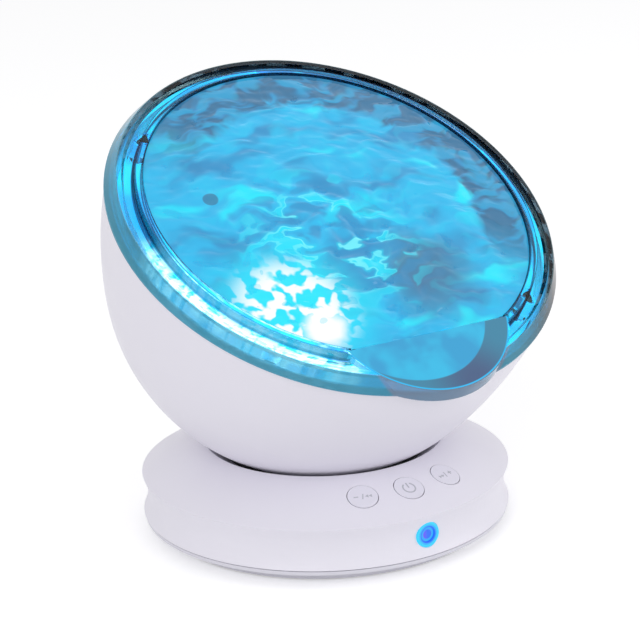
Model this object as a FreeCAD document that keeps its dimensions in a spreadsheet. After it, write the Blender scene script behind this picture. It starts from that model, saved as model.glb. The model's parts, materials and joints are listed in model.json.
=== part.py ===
import FreeCAD, Part
import os
import re
import Sketcher

# Water-ripple night light projector, in millimetres.
# The base stands on z = 0 about the Z axis, and its front, with the keys, faces -Y.
# The lamp head tilts towards the front about the X line through the centre of its ball.
# Head pieces are drawn level about that centre and then tilted by their placement.

Vector = FreeCAD.Vector
doc = FreeCAD.newDocument("ripple_projector")
dims = doc.addObject("Spreadsheet::Sheet", "dims")

DRIVING_SIZES = {
    # lamp head
    "ball_radius": 60,
    "ball_bottom": 14.9,
    "rest_tilt": 33,
    "tilt_travel": 45,
    "bowl_wall": 2.2,
    "ball_angle": 72,
    "upper_bend": 2.15,
    "rim_flare": 3.4,
    "rim_height": 17.5,
    # tilt joint
    "post_radius": 6.5,
    "post_clearance": 0.4,
    "saddle_gap": 0.4,
    "saddle_wall": 2.2,
    "saddle_half_width": 11,
    "saddle_half_angle": 42,
    "saddle_boss_inset": 1.5,
    "saddle_boss_height": 8,
    "saddle_bore_depth": 6,
    "seat_gap": 0.3,
    "seat_ring_sink": 0.02,
    "seat_ring_inset": 5.4,
    "seat_ring_width": 6,
    # clear cover
    "skirt_overhang": 0.6,
    "skirt_edge": 0.6,
    "land_inset": 2.3,
    "land_width": 1.6,
    "land_height": 22.5,
    "channel_bevel": 0.8,
    "channel_width": 2.7,
    "channel_height": 21,
    "ridge_width": 2.1,
    "ridge_height": 23.7,
    "lens_edge_height": 22.6,
    "lens_crown": 3.2,
    "cover_wall": 2,
    "tongue_depth": 3.4,
    "tongue_wall": 1.7,
    "tongue_inset": 0.6,
    "fit_gap": 0.3,
    "peg_inset": 6.4,
    "peg_angle": 45,
    "peg_count": 4,
    "peg_radius": 2.6,
    "peg_sink": 0.5,
    "pin_radius": 1.5,
    "pin_length": 6,
    "pin_end_gap": 1,
    "lobe_radius": 27,
    "lobe_reach": 3,
    "scoop_inset": 9,
    "scoop_slope": 5.5,
    "cutter_reach": 1,
    # socket bosses in the bowl and the cup that rests on them
    "socket_radius": 3.6,
    "socket_top": 8,
    "socket_bottom": 1,
    "flange_wall": 1.5,
    "cup_wall": 1.4,
    "cup_flange_width": 8,
    "cup_floor_radius": 25,
    "cup_floor": -20,
    "floor_bore_gap": 3,
    # lamp board, motor and ripple disc
    "board_wall": 1.6,
    "lamp_board_inset": 2,
    "lamp_inset": 9,
    "lamp_count": 12,
    "lamp_side": 3.4,
    "lamp_height": 0.9,
    "lamp_dome_radius": 1.3,
    "lamp_dome_height": 0.7,
    "feature_root": 0.1,
    "shaft_radius": 1.5,
    "shaft_clearance": 0.05,
    "bearing_depth": 4,
    "motor_radius": 9,
    "motor_length": 11,
    "motor_flange_width": 2,
    "motor_flange_wall": 1.2,
    "disc_inset": 3,
    "disc_wall": 2,
    "disc_height": -4,
    "hub_length": 4,
    "hub_wall": 2,
    # base shell
    "dish_gap": 1,
    "shoulder_radius": 52.9,
    "shoulder_height": 16.4,
    "shoulder_edge": 0.5,
    "shoulder_drop": 1.4,
    "crown_width": 18.5,
    "crown_radius": 80,
    "mouth_edge": 0.5,
    "waist_depth": 1.1,
    "inner_wall_inset": 3.3,
    "inner_edge_drop": 0.6,
    "wall_ramp": 2,
    "flare_reach": 0.1,
    "band_bottom": 5,
    "base_wall": 2.2,
    # floor plate
    "plate_gap": 0.3,
    "lip_bottom": 3.6,
    "lip_root": 1.2,
    "lip_inset": 1.4,
    "lip_step": 0.4,
    "plate_wall": 2.2,
    "foot_ring_inset": 5.4,
    "foot_ring_width": 9.1,
    "foot_ring_bottom": 0.4,
    "foot_inset": 5,
    "foot_angle": 45,
    "foot_count": 4,
    "foot_radius": 3.6,
    "foot_play": 0.1,
    "foot_recess": 0.6,
    "plate_bottom": 2,
    "spigot_height": 1.7,
    "spigot_play": 0.1,
    # screws and their bosses
    "screw_circle_inset": 8.1,
    "boss_radius": 3.2,
    "boss_bore_depth": 9,
    "screw_radius": 1.1,
    "screw_play": 0.4,
    "screw_head_radius": 2.2,
    "screw_head_height": 1.3,
    "screw_seat_wall": 1.2,
    "shank_root": 0.2,
    "screw_length": 9,
    "post_head_extra": 0.6,
    "post_head_height": 1.6,
    "post_shank_extra": 0.2,
    "post_seat_sink": 0.4,
    "post_head_play": 1,
    # keys
    "key_inset": 8.8,
    "key_angle": 18.2,
    "key_radius": 4.15,
    "key_gap": 0.2,
    "key_travel": 0.7,
    "key_flange": 1.1,
    "key_board_depth": 7.7,
    "key_board_wall": 1.2,
    "key_board_front": 2.4,
    "key_board_back": 7.5,
    "key_board_margin": 3.5,
    "key_post_radius": 0.9,
    "side_key_sink": 0.15,
    "key_stem": 0.4,
    "key_stem_radius": 1.3,
    "key_seat_gap": 0.5,
    "key_flange_wall": 0.8,
    "switch_height": 2,
    "switch_side": 4.4,
    "plunger_radius": 1.1,
    "plunger_shift": 0.135,
    "plunger_root": 1,
    # receiver window and the board behind it
    "window_height": 10.7,
    "window_radius": 3.5,
    "window_gap": 0.15,
    "window_flange": 0.7,
    "window_flange_wall": 0.9,
    "window_seat_gap": 0.5,
    "window_step": 0.5,
    "window_step_share": 0.62,
    "sensor_set_back": 7.6,
    "sensor_board_height": 7.4,
    "sensor_board_width": 12,
    "status_lamp_offset": 1.9,
    "status_lamp_radius": 1.5,
    "status_lamp_length": 4.6,
    "receiver_offset": 2.2,
    "receiver_width": 4,
    "receiver_height": 5,
    "receiver_depth": 3.4,
    # main board and sockets
    "port_floor": 8.2,
    "board_set_back": 14.6,
    "main_board_width": 44,
    "main_board_depth": 17,
    "board_post_offset": 19,
    "board_post_inset": 6,
    "board_post_radius": 1.8,
    "socket_skin": 0.5,
    "usb_width": 9,
    "usb_thick": 3.2,
    "usb_depth": 9,
    "usb_reach": 0.9,
    "usb_mouth_depth": 6,
    "usb_tongue_width": 6.4,
    "usb_tongue_wall": 0.7,
    "jack_radius": 1.8,
    "jack_wall": 1.1,
    "jack_offset": 15,
    "jack_case_width": 6.6,
    "jack_case_depth": 11,
    "jack_case_height": 6,
    "jack_set_back": 4.1,
    "jack_nose_inset": 1,
    "jack_nose_length": 4.2,
    "jack_bore_depth": 12.6,
    "card_width": 12,
    "card_thick": 1.4,
    "card_offset": 16,
    "card_case_depth": 10,
    "card_case_height": 1.8,
    "card_set_back": 6.1,
    "card_mouth_inset": 0.7,
    "card_mouth_depth": 7.5,
    "card_mouth_height": 1,
    # speaker
    "speaker_radius": 18,
    "basket_height": 2.8,
    "basket_rim": 2.6,
    "basket_edge": 1.2,
    "basket_lip": 1.6,
    "basket_wall": 0.9,
    "magnet_radius": 9,
    "magnet_height": 2.8,
    "magnet_seat": 0.5,
    "cone_cap_radius": 4.5,
    "cone_drop": 1.7,
    "cone_wall": 0.5,
    "cone_rim_gap": 0.2,
    "cone_rim_height": 0.4,
    "grille_inset": 3.5,
    "grille_slot": 1.6,
    "grille_pitch": 4,
}

# Sizes that follow from the ones above, so that neighbours keep together.
SHARED_SIZES = {
    "pivot_height": "ball_radius + ball_bottom",
    "rim_radius": "ball_radius + rim_flare",
    "skirt_radius": "rim_radius + skirt_overhang",
    "land_radius": "skirt_radius - land_inset",
    "channel_radius": "land_radius - land_width - channel_bevel",
    "ridge_outer_radius": "channel_radius - channel_width",
    "lens_edge": "ridge_outer_radius - ridge_width",
    "peg_circle": "rim_radius - peg_inset",
    "lobe_centre": "skirt_radius + lobe_reach - lobe_radius",
    "scoop_start": "lobe_centre + scoop_inset",
    "cup_mouth_radius": "peg_circle - cup_flange_width",
    "disc_radius": "(cup_floor_radius + cup_mouth_radius) / 2 - disc_inset",
    "lamp_board_radius": "cup_floor_radius - lamp_board_inset",
    "lamp_circle": "lamp_board_radius - lamp_inset",
    "dish_radius": "ball_radius + dish_gap",
    "mouth_radius": "shoulder_radius - crown_width",
    "inner_wall_radius": "shoulder_radius - inner_wall_inset",
    "flare_radius": "shoulder_radius + flare_reach",
    "foot_ring_radius": "flare_radius - foot_ring_inset",
    "foot_circle": "foot_ring_radius - foot_inset",
    "screw_circle": "inner_wall_radius - screw_circle_inset",
    "key_circle": "mouth_radius + key_inset",
    "sensor_face": "inner_wall_radius - sensor_set_back",
    "board_middle": "inner_wall_radius - board_set_back",
    "usb_face": "inner_wall_radius + usb_reach",
    "jack_face": "inner_wall_radius - jack_set_back",
    "jack_tip": "inner_wall_radius - jack_nose_inset",
    "card_face": "inner_wall_radius - card_set_back",
}

for row, (name, value) in enumerate(DRIVING_SIZES.items(), start=1):
    dims.set("A%d" % row, name)
    dims.set("B%d" % row, str(value))
    dims.setAlias("B%d" % row, name)
doc.recompute()


def full(text):
    """An expression in size names, with shared sizes spelled out and each name led by its sheet."""

    def spelled(found):
        name = found[0]
        if name in SHARED_SIZES:
            return "(" + full(SHARED_SIZES[name]) + ")"
        return "dims." + name if name in DRIVING_SIZES else name

    return re.sub(r"[a-z_]+", spelled, text)


def size(text):
    """The present value of an expression in size names."""
    return float(dims.evalExpression(full(str(text))))


def bind(thing, path, text):
    thing.setExpression(path, full(str(text)))


# Heights and radii that several pieces share, as expressions of the driving sizes.
BALL_TOP_R = "(ball_radius * sin(ball_angle))"
BALL_TOP_H = "(-ball_radius * cos(ball_angle))"
MOUTH_H = "(pivot_height - sqrt(dish_radius^2 - mouth_radius^2))"
PLATE_TOP = "(plate_bottom + plate_wall)"
SHELF = "(socket_top + flange_wall)"
POST_TOP = "(pivot_height - ball_radius + bowl_wall + saddle_gap)"
DISH_BOTTOM = "(pivot_height - dish_radius)"

# The crown of the base top is one arc from the dish's mouth to the shoulder.
CROWN_RUN = "(shoulder_radius - mouth_radius)"
CROWN_DROP = "(" + MOUTH_H + " - shoulder_height)"
CROWN_CHORD = "sqrt(%s^2 + %s^2)" % (CROWN_RUN, CROWN_DROP)
CROWN_BACK = "sqrt(crown_radius^2 - (%s^2 + %s^2) / 4)" % (CROWN_RUN, CROWN_DROP)
CROWN_MIDDLE = "((mouth_radius + shoulder_radius) / 2)"
CROWN_R = "(%s - %s / %s * %s)" % (CROWN_MIDDLE, CROWN_DROP, CROWN_CHORD, CROWN_BACK)
CROWN_H = "((%s + shoulder_height) / 2 - %s / %s * %s)" % (MOUTH_H, CROWN_RUN, CROWN_CHORD, CROWN_BACK)
KEY_H = "(%s + sqrt(crown_radius^2 - (key_circle - %s)^2))" % (CROWN_H, CROWN_R)
KEY_SLOPE = "(asin((key_circle - %s) / crown_radius) / 1deg)" % CROWN_R
KEY_SEAT = "(base_wall + key_seat_gap)"

PEG_PLACE = ("peg_circle * sin(peg_angle)", "-peg_circle * cos(peg_angle)")
FOOT_PLACE = ("foot_circle * sin(foot_angle)", "-foot_circle * cos(foot_angle)")


nodes = []


def new_body(label):
    made = doc.addObject("PartDesign::Body", label)
    made.Label = label
    made.AllowCompound = True
    nodes.append(made)
    return made


def plane_of(body, role):
    return next(item for item in body.Origin.OriginFeatures if item.Role == role)


def new_sketch(body, name, role="XZ_Plane"):
    made = body.newObject("Sketcher::SketchObject", name)
    made.AttachmentSupport = [(plane_of(body, role), "")]
    made.MapMode = "FlatFace"
    return made


def lift(sketch, text, axis="z"):
    """Moves a sketch off its plane."""
    bind(sketch, "AttachmentOffset.Base." + axis, text)


def outline(sketch, corners):
    """A closed outline. Each corner is (x, y) or (x, y, radius, side): an arc that leads to the
    next corner, bulging to the left (side 1) or right (side -1) of the way."""
    at = [Vector(size(c[0]), size(c[1]), 0) for c in corners]
    edges = []
    for index, corner in enumerate(corners):
        start, end = at[index], at[(index + 1) % len(at)]
        if len(corner) > 2:
            radius = size(corner[2])
            chord = end - start
            half = chord.Length / 2
            left = Vector(-chord.y, chord.x, 0).normalize()
            centre = (start + end) / 2 - left * (corner[3] * (radius ** 2 - half ** 2) ** 0.5)
            through = centre + left * (corner[3] * radius)
            edges.append(sketch.addGeometry(Part.Arc(start, through, end), False))
        else:
            edges.append(sketch.addGeometry(Part.LineSegment(start, end), False))

    def ends(index):
        """The numbers of an edge's first and last point: an arc that turns right runs backwards."""
        backwards = len(corners[index]) > 2 and corners[index][3] == 1
        return (2, 1) if backwards else (1, 2)

    for index in range(len(edges)):
        after = (index + 1) % len(edges)
        sketch.addConstraint(
            Sketcher.Constraint("Coincident", edges[index], ends(index)[1], edges[after], ends(after)[0])
        )
    for index, corner in enumerate(corners):
        for kind, text in (("DistanceX", corner[0]), ("DistanceY", corner[1])):
            point = ends(index)[0]
            number = sketch.addConstraint(
                Sketcher.Constraint(kind, -1, 1, edges[index], point, size(text))
            )
            bind(sketch, "Constraints[%d]" % number, text)
        if len(corner) > 2:
            number = sketch.addConstraint(Sketcher.Constraint("Radius", edges[index], size(corner[2])))
            bind(sketch, "Constraints[%d]" % number, corner[2])


def circle(sketch, x, y, radius):
    number = sketch.addGeometry(
        Part.Circle(Vector(size(x), size(y), 0), Vector(0, 0, 1), size(radius)), False
    )
    for kind, text in (("DistanceX", x), ("DistanceY", y)):
        put = sketch.addConstraint(Sketcher.Constraint(kind, -1, 1, number, 3, size(text)))
        bind(sketch, "Constraints[%d]" % put, text)
    put = sketch.addConstraint(Sketcher.Constraint("Radius", number, size(radius)))
    bind(sketch, "Constraints[%d]" % put, radius)


def box_outline(sketch, x, y, width, depth):
    """A rectangle about (x, y)."""
    near = "(%s) - (%s) / 2"
    far = "(%s) + (%s) / 2"
    outline(
        sketch,
        [
            (near % (x, width), near % (y, depth)),
            (far % (x, width), near % (y, depth)),
            (far % (x, width), far % (y, depth)),
            (near % (x, width), far % (y, depth)),
        ],
    )


def revolve(body, corners, name="turned", cut=False):
    """A profile of (radius, height) corners turned about the Z axis."""
    sketch = new_sketch(body, body.Name + "_" + name + "_profile")
    outline(sketch, corners)
    doc.recompute()
    kind = "PartDesign::Groove" if cut else "PartDesign::Revolution"
    made = body.newObject(kind, body.Name + "_" + name)
    made.Profile = sketch
    made.ReferenceAxis = (sketch, ["V_Axis"])
    made.Angle = 360
    doc.recompute()
    return made


def pad(body, name, draw, bottom, height, role="XY_Plane", reverse=False):
    """Material of the drawn outline, from a height above the plane."""
    sketch = new_sketch(body, body.Name + "_" + name + "_outline", role)
    lift(sketch, bottom)
    draw(sketch)
    doc.recompute()
    made = body.newObject("PartDesign::Pad", body.Name + "_" + name)
    made.Profile = sketch
    made.Reversed = reverse
    bind(made, "Length", height)
    doc.recompute()
    return made


def pocket(body, name, draw, start, depth, role="XY_Plane", reverse=False, both=False):
    """A cut of the drawn outline: down from the sketch, or up when reversed."""
    sketch = new_sketch(body, body.Name + "_" + name + "_outline", role)
    lift(sketch, start)
    draw(sketch)
    doc.recompute()
    before = body.Shape.Volume
    made = body.newObject("PartDesign::Pocket", body.Name + "_" + name)
    made.Profile = sketch
    made.Reversed = reverse
    made.Midplane = both
    bind(made, "Length", depth)
    doc.recompute()
    if not body.Shape.Volume < before - 0.01:
        raise ValueError("%s cuts nothing" % made.Name)
    return made


def repeat_round(body, features, count, angle=360, name="pattern", reverse=False):
    """Copies features about the Z axis."""
    made = body.newObject("PartDesign::PolarPattern", body.Name + "_" + name)
    made.Originals = features
    axis = next(item for item in body.Origin.OriginFeatures if item.Role == "Z_Axis")
    made.Axis = (axis, [""])
    made.Reversed = reverse
    bind(made, "Occurrences", count)
    bind(made, "Angle", angle)
    body.Tip = made
    doc.recompute()
    return made


def on_head(body):
    """Lifts a level head piece to the pivot and tilts it to its place at rest."""
    body.Placement = FreeCAD.Placement(Vector(0, 0, 0), FreeCAD.Rotation(Vector(1, 0, 0), 1))
    bind(body, "Placement.Base.z", "pivot_height")
    bind(body, "Placement.Rotation.Angle", "rest_tilt")


# Bowl: a moulded ball with a straighter upper wall and an open rim. The slot in its underside
# lets it tilt over the post of the base.
bowl = new_body("bowl_shell")
inner_ball = "(ball_radius - bowl_wall)"
revolve(
    bowl,
    [
        (0, "-ball_radius", "ball_radius", -1),
        (BALL_TOP_R, BALL_TOP_H, "ball_radius * upper_bend", -1),
        ("rim_radius", "rim_height"),
        ("rim_radius - bowl_wall", "rim_height", "ball_radius * upper_bend - bowl_wall", 1),
        (inner_ball + " * sin(ball_angle)", "-" + inner_ball + " * cos(ball_angle)", inner_ball, 1),
        (0, "-" + inner_ball),
    ],
)
socket = pad(
    bowl,
    "socket",
    lambda s: circle(s, *PEG_PLACE, "socket_radius"),
    "socket_bottom",
    "socket_top - socket_bottom",
)
socket_bore = pocket(
    bowl,
    "socket_bore",
    lambda s: circle(s, *PEG_PLACE, "pin_radius + shaft_clearance"),
    "socket_top",
    "pin_length",
)
repeat_round(bowl, [socket, socket_bore], "peg_count")
slot_sketch = new_sketch(bowl, "bowl_slot_section")
slot_sketch.AttachmentOffset = FreeCAD.Placement(Vector(0, 0, 0), FreeCAD.Rotation(Vector(-1, 0, 0), 1))
bind(slot_sketch, "AttachmentOffset.Rotation.Angle", "tilt_travel / 2")
box_outline(slot_sketch, 0, "-ball_radius", "2 * (post_radius + post_clearance)", "6 * bowl_wall")
doc.recompute()
bowl_volume = bowl.Shape.Volume
slot = bowl.newObject("PartDesign::Groove", "bowl_slot")
slot.Profile = slot_sketch
slot.ReferenceAxis = (slot_sketch, ["H_Axis"])
slot.Midplane = True
post_angle = "asin((post_radius + post_clearance) / %s) / 1deg" % inner_ball
bind(slot, "Angle", "tilt_travel + 2 * " + post_angle)
doc.recompute()
if not bowl.Shape.Volume < bowl_volume:
    raise ValueError("the slot cuts nothing")
on_head(bowl)

# Clear cover: one moulding in smoky plastic. From outside in it has a skirt, a land, a channel,
# a raised ridge and a crowned lens. A tongue locates it in the bowl, and at the front a lobe
# with a sloping scoop breaks the ridge.
cover = new_body("lens_cover")
under = "(channel_height - cover_wall)"
lens_radius = "((lens_edge^2 + lens_crown^2) / (2 * lens_crown))"
tongue_outer = "(rim_radius - bowl_wall - tongue_inset)"
tongue_inner = "(" + tongue_outer + " - tongue_wall)"
revolve(
    cover,
    [
        (0, "lens_edge_height - cover_wall + lens_crown", lens_radius, 1),
        ("lens_edge", "lens_edge_height - cover_wall"),
        ("lens_edge", under),
        (tongue_inner, under),
        (tongue_inner, "rim_height - tongue_depth"),
        (tongue_outer, "rim_height - tongue_depth"),
        (tongue_outer, "rim_height"),
        ("skirt_radius", "rim_height"),
        ("skirt_radius", "rim_height + skirt_edge"),
        ("land_radius", "land_height"),
        ("land_radius - land_width", "land_height"),
        ("channel_radius", "channel_height"),
        ("ridge_outer_radius", "channel_height"),
        ("ridge_outer_radius", "ridge_height"),
        ("lens_edge", "ridge_height"),
        ("lens_edge", "lens_edge_height", lens_radius, -1),
        (0, "lens_edge_height + lens_crown"),
    ],
)
peg = pad(
    cover,
    "peg",
    lambda s: circle(s, *PEG_PLACE, "peg_radius"),
    SHELF,
    under + " + peg_sink - " + SHELF,
)
pin = pad(
    cover,
    "pin",
    lambda s: circle(s, *PEG_PLACE, "pin_radius"),
    SHELF + " - flange_wall - pin_length + pin_end_gap",
    "flange_wall + pin_length - pin_end_gap + peg_sink",
)
repeat_round(cover, [peg, pin], "peg_count")


def lobe_outline(sketch):
    """The part of the lobe's circle in front of the line where the scoop starts."""
    half = "sqrt(lobe_radius^2 - (scoop_start - lobe_centre)^2)"
    outline(sketch, [("-" + half, "-scoop_start", "lobe_radius", -1), (half, "-scoop_start")])


scoop_top = "(lens_edge_height + (lens_edge^2 - scoop_start^2) / (2 * %s))" % lens_radius
pad(cover, "lobe", lobe_outline, "rim_height", scoop_top + " - rim_height")
under_lobe = new_sketch(cover, "under_lobe_profile")
outline(
    under_lobe,
    [
        (0, "rim_height - cutter_reach"),
        (tongue_inner, "rim_height - cutter_reach"),
        (tongue_inner, under),
        (0, under),
    ],
)
doc.recompute()
under_cut = cover.newObject("PartDesign::Groove", "under_lobe_cut")
under_cut.Profile = under_lobe
under_cut.ReferenceAxis = (under_lobe, ["V_Axis"])
under_cut.Angle = 360
doc.recompute()

# The cutter that leaves the scoop's sloping floor: the lobe's outline, above a slanting plane.
scoop_cutter = new_body("scoop_cutter")
nodes.remove(scoop_cutter)
pad(scoop_cutter, "block", lobe_outline, "rim_height", "2 * (ridge_height - rim_height)")
reach = "(2 * lobe_radius)"


def below_scoop(sketch):
    slope = "tan(scoop_slope)"
    outline(
        sketch,
        [
            ("-scoop_start + cutter_reach", "%s + cutter_reach * %s" % (scoop_top, slope)),
            ("-scoop_start - " + reach, "%s - %s * %s" % (scoop_top, reach, slope)),
            ("-scoop_start - " + reach, "rim_height - cutter_reach"),
            ("-scoop_start + cutter_reach", "rim_height - cutter_reach"),
        ],
    )


pocket(scoop_cutter, "slope", below_scoop, 0, "4 * lobe_radius", role="YZ_Plane", both=True)
scoop = cover.newObject("PartDesign::Boolean", "cover_scoop")
scoop.setObjects([scoop_cutter])
scoop.Type = "Cut"
doc.recompute()
on_head(cover)

# Light cup: a white cone in the bowl. Its flange rests on the socket bosses under the cover's
# pegs, and its floor carries the lamp board above and the gear motor below.
cup = new_body("light_cup")
flange_radius = "(peg_circle + peg_radius + fit_gap)"
floor_bore = "(shaft_radius + floor_bore_gap)"
revolve(
    cup,
    [
        (floor_bore, "cup_floor - cup_wall"),
        ("cup_floor_radius", "cup_floor - cup_wall"),
        ("cup_mouth_radius", "socket_top"),
        (flange_radius, "socket_top"),
        (flange_radius, SHELF),
        ("cup_mouth_radius - cup_wall", SHELF),
        ("cup_floor_radius - cup_wall", "cup_floor"),
        (floor_bore, "cup_floor"),
    ],
)
pin_hole = pocket(
    cup,
    "pin_hole",
    lambda s: circle(s, *PEG_PLACE, "pin_radius + fit_gap / 2"),
    SHELF,
    "2 * flange_wall",
)
repeat_round(cup, [pin_hole], "peg_count")
on_head(cup)

# Lamp board with a ring of light-emitting diodes round the motor shaft.
lamp_board = new_body("lamp_board")
pad(
    lamp_board,
    "plate",
    lambda s: (circle(s, 0, 0, "lamp_board_radius"), circle(s, 0, 0, floor_bore)),
    "cup_floor",
    "board_wall",
)
on_head(lamp_board)
lamps = new_body("lamps")
lamp_body = pad(
    lamps,
    "lamp",
    lambda s: box_outline(s, "lamp_circle", 0, "lamp_side", "lamp_side"),
    "cup_floor + board_wall",
    "lamp_height",
)
lamp_dome = pad(
    lamps,
    "lamp_dome",
    lambda s: circle(s, "lamp_circle", 0, "lamp_dome_radius"),
    "cup_floor + board_wall + lamp_height - feature_root",
    "lamp_dome_height",
)
repeat_round(lamps, [lamp_body, lamp_dome], "lamp_count")
on_head(lamps)

# Gear motor under the cup's floor, its shaft, and the ripple disc that the shaft turns.
motor = new_body("gear_motor")
motor_top = "(cup_floor - cup_wall)"
flange_bottom = motor_top + " - motor_flange_wall"
bearing_end = "(%s - bearing_depth)" % motor_top
revolve(
    motor,
    [
        ("shaft_radius + shaft_clearance", motor_top),
        ("motor_radius + motor_flange_width", motor_top),
        ("motor_radius + motor_flange_width", flange_bottom),
        ("motor_radius", flange_bottom),
        ("motor_radius", motor_top + " - motor_length"),
        (0, motor_top + " - motor_length"),
        (0, bearing_end),
        ("shaft_radius + shaft_clearance", bearing_end),
    ],
)
on_head(motor)
shaft = new_body("disc_shaft")
shaft_bottom = "(%s + 2 * shaft_clearance)" % bearing_end
pad(
    shaft,
    "rod",
    lambda s: circle(s, 0, 0, "shaft_radius"),
    shaft_bottom,
    "disc_height + disc_wall / 2 - " + shaft_bottom,
)
on_head(shaft)
disc = new_body("ripple_disc")
revolve(
    disc,
    [
        ("shaft_radius", "disc_height - hub_length"),
        ("shaft_radius + hub_wall", "disc_height - hub_length"),
        ("shaft_radius + hub_wall", "disc_height"),
        ("disc_radius", "disc_height"),
        ("disc_radius", "disc_height + disc_wall"),
        (0, "disc_height + disc_wall"),
        (0, "disc_height + disc_wall / 2"),
        ("shaft_radius", "disc_height + disc_wall / 2"),
    ],
)
on_head(disc)

# Base shell: dish, crowned top, shoulder edge and waisted band in one moulding, with the post
# that the head tilts on and the bosses for the floor plate's screws.
base = new_body("base_shell")
waist_rise = "(shoulder_height - shoulder_drop - band_bottom)"
waist_chord = "(%s^2 + (flare_reach + shoulder_edge)^2)" % waist_rise
waist_arc = "((%s / 4 + waist_depth^2) / (2 * waist_depth))" % waist_chord
inner_dish = "(dish_radius + base_wall)"
inner_mouth = "(mouth_radius + mouth_edge)"
inner_mouth_height = "pivot_height - sqrt(%s^2 - %s^2)" % (inner_dish, inner_mouth)
revolve(
    base,
    [
        (0, DISH_BOTTOM, "dish_radius", -1),
        ("mouth_radius", MOUTH_H, "crown_radius", 1),
        ("shoulder_radius", "shoulder_height"),
        ("shoulder_radius - shoulder_edge", "shoulder_height - shoulder_drop", waist_arc, -1),
        ("flare_radius", "band_bottom"),
        ("flare_radius - base_wall", "band_bottom"),
        ("flare_radius - base_wall", "band_bottom + spigot_height + spigot_play"),
        ("inner_wall_radius", "band_bottom + spigot_height + wall_ramp"),
        ("inner_wall_radius", "shoulder_height - inner_edge_drop", "crown_radius - base_wall", -1),
        (inner_mouth, inner_mouth_height, inner_dish, 1),
        (0, "pivot_height - " + inner_dish),
    ],
)
pad(
    base,
    "post",
    lambda s: circle(s, 0, 0, "post_radius"),
    DISH_BOTTOM + " - base_wall / 2",
    "%s - %s + base_wall / 2" % (POST_TOP, DISH_BOTTOM),
)
pocket(
    base,
    "post_bore",
    lambda s: circle(s, 0, 0, "screw_radius + screw_play"),
    POST_TOP,
    "%s - %s + 2 * base_wall" % (POST_TOP, DISH_BOTTOM),
)
pocket(
    base,
    "post_counterbore",
    lambda s: circle(s, 0, 0, "screw_head_radius + post_head_play"),
    DISH_BOTTOM + " - post_seat_sink",
    "3 * base_wall",
)
BOSS_ANGLES = (65, 115, 245, 295)


def at_bosses(draw_radius):
    """Circles on the screw circle, at each boss."""

    def draw(sketch):
        for angle in BOSS_ANGLES:
            circle(sketch, "screw_circle * sin(%d)" % angle, "-screw_circle * cos(%d)" % angle, draw_radius)

    return draw


boss_bottom = PLATE_TOP
boss_reach = "(screw_circle + boss_radius - %s)" % CROWN_R
boss_top = "(%s + sqrt(crown_radius^2 - %s^2) - base_wall / 6)" % (CROWN_H, boss_reach)
pad(base, "bosses", at_bosses("boss_radius"), boss_bottom, "%s - %s" % (boss_top, boss_bottom))
pocket(base, "boss_bores", at_bosses("screw_radius"), boss_bottom, "boss_bore_depth", reverse=True)


def key_feature(body, kind, name, draw, top, height):
    """A pad or pocket square to the sloping top, from a depth below it downwards."""
    sketch = new_sketch(body, body.Name + "_" + name + "_outline", "XY_Plane")
    sketch.AttachmentOffset = FreeCAD.Placement(Vector(0, -1, 1), FreeCAD.Rotation(Vector(1, 0, 0), 1))
    slope = KEY_SLOPE
    bind(sketch, "AttachmentOffset.Base.y", "-key_circle + (%s) * sin(%s)" % (top, slope))
    bind(sketch, "AttachmentOffset.Base.z", "%s - (%s) * cos(%s)" % (KEY_H, top, slope))
    bind(sketch, "AttachmentOffset.Rotation.Angle", slope)
    draw(sketch)
    doc.recompute()
    made = body.newObject("PartDesign::" + kind, body.Name + "_" + name)
    made.Profile = sketch
    made.Reversed = kind == "Pad"
    bind(made, "Length", height)
    doc.recompute()
    return made


key_hole = key_feature(
    base,
    "Pocket",
    "key_hole",
    lambda s: circle(s, 0, 0, "key_radius + key_gap"),
    "-base_wall",
    "3 * base_wall",
)
repeat_round(base, [key_hole], 2, "key_angle", "right_key_hole")
repeat_round(base, [key_hole], 2, "key_angle", "left_key_hole", reverse=True)


def key_board_posts(sketch):
    for side in (-1, 1):
        circle(
            sketch,
            "%d * key_circle * sin(key_angle / 2)" % side,
            "key_circle * (1 - cos(key_angle / 2))",
            "key_post_radius",
        )


key_feature(base, "Pad", "key_posts", key_board_posts, "base_wall / 2", "key_board_depth - base_wall / 2")
pocket(
    base,
    "window_hole",
    lambda s: circle(s, 0, "window_height", "window_radius + window_gap"),
    "inner_wall_radius - 2 * base_wall",
    "6 * base_wall",
    role="XZ_Plane",
    reverse=True,
)
usb_height = "(port_floor + usb_thick / 2)"
jack_height = "(port_floor + jack_case_height / 2)"
card_height = "(port_floor + card_case_height / 2)"


def ports(sketch):
    """The openings of the three sockets in the back of the band."""
    box_outline(sketch, 0, usb_height, "usb_width + 2 * fit_gap", "usb_thick + 2 * fit_gap")
    circle(sketch, "-jack_offset", jack_height, "jack_radius + jack_wall + fit_gap")
    card_opening = "card_width - 2 * socket_skin"
    box_outline(sketch, "card_offset", card_height, card_opening, "card_thick + 2 * fit_gap")


pocket(base, "ports", ports, "-inner_wall_radius + 3 * base_wall", "6 * base_wall", role="XZ_Plane")

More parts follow.
